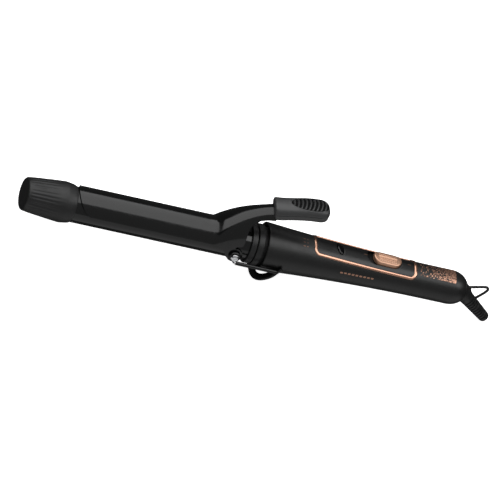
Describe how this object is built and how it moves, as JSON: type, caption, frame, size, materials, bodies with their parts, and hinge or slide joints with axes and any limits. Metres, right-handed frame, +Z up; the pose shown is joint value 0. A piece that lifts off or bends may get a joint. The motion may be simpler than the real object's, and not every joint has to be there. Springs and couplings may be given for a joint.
{
  "type": "curling iron",
  "caption": "Curling iron: black barrel with cool tip, hinged spring clip with thumb lever, fold-out wire stand, tapered handle with slide button, swivelling cord boot.",
  "frame": {"origin": "middle of the overall length and width, at the height of the lowest point", "axes": "+X along the barrel and handle towards the cord, +Z up on the thumb lever side, +Y across"},
  "size_m": [0.3494, 0.0402, 0.0705],
  "materials": {
    "barrel_coat": "satin-gloss black heat-proof coating on steel",
    "clip_coat": "satin-gloss black heat-proof coating on pressed steel",
    "tip_plastic": "fine matt heat-proof moulding",
    "soft_touch": "soft-touch black coating",
    "collar_plastic": "matt black moulding",
    "pad_plastic": "satin black moulding",
    "grip_rubber": "matt ribbed rubber",
    "panel_plastic": "satin black inset",
    "rose_gold": "metallised rose gold",
    "lens_plastic": "polished dark window",
    "chrome": "bright plated steel",
    "wire_coat": "black coated spring wire, bright at its eyes",
    "boot_rubber": "matt flexible moulding",
    "aluminium": "extruded",
    "ceramic": "sintered ceramic, cream",
    "brass": "plain",
    "spring_steel": "plain",
    "lead_sleeve": "braided glass sleeve",
    "board_green": "laminate",
    "inner_plastic": "plain moulding",
    "led_epoxy": "clear red"
  },
  "bodies": {
    "iron": {"barrel": "barrel_coat", "cool_tip": "tip_plastic", "tip_plug": "ceramic", "heater_block_upper": "aluminium", "heater_block_lower": "aluminium", "ceramic_heater": "ceramic", "contact_plate_upper": "brass", "contact_plate_lower": "brass", "heater_lead_live": "lead_sleeve", "heater_lead_neutral": "lead_sleeve", "thermal_fuse": "chrome", "pivot_pin": "spring_steel", "pivot_screw_left": "chrome", "pivot_screw_right": "chrome", "barrel_collar": "collar_plastic", "handle_cap": "collar_plastic", "handle_sleeve": "soft_touch", "trim_frame": "rose_gold", "control_panel": "panel_plastic", "indicator_lens": "lens_plastic", "chassis": "inner_plastic", "circuit_board": "board_green", "board_screw_front": "spring_steel", "board_screw_rear": "spring_steel", "indicator_led": "led_epoxy", "switch_body": "inner_plastic", "terminal_block": "inner_plastic", "film_capacitor": "brass", "swivel_bush": "inner_plastic", "brush_live": "brass", "brush_neutral": "brass"},
    "clip": {"clip_plate": "clip_coat", "thumb_pad": "pad_plastic", "thumb_grip": "grip_rubber", "pad_rivet": "chrome", "clip_spring": "spring_steel"},
    "stand": {"stand_wire": "wire_coat", "stand_foot": "boot_rubber"},
    "slide": {"slide_button": "rose_gold", "switch_slider": "ceramic"},
    "swivel": {"swivel_head": "boot_rubber", "slip_ring_live": "brass", "slip_ring_neutral": "brass", "cord_boot": "boot_rubber", "hang_loop": "boot_rubber"}
  },
  "joints": [
    {"name": "clip_hinge", "type": "hinge", "parent": "iron", "child": "clip", "pos_m": [-0.02074, 0, 0.02071], "axis": [0, 1, 0], "range_deg": [0, 20], "stiffness_Nm_per_rad": 0.7, "springref_deg": -9.74, "deforming": ["clip_spring"]},
    {"name": "stand_hinge", "type": "hinge", "parent": "iron", "child": "stand", "pos_m": [-0.02074, 0, 0.02071], "axis": [0, 1, 0], "range_deg": [0, 95]},
    {"name": "button_slide", "type": "slide", "parent": "iron", "child": "slide", "axis": [1, 0, 0], "range_m": [-0.004, 0]},
    {"name": "cord_swivel", "type": "hinge", "parent": "iron", "child": "swivel", "pos_m": [0.14426, 0, 0.02271], "axis": [1, 0, 0], "continuous": true}
  ]
}
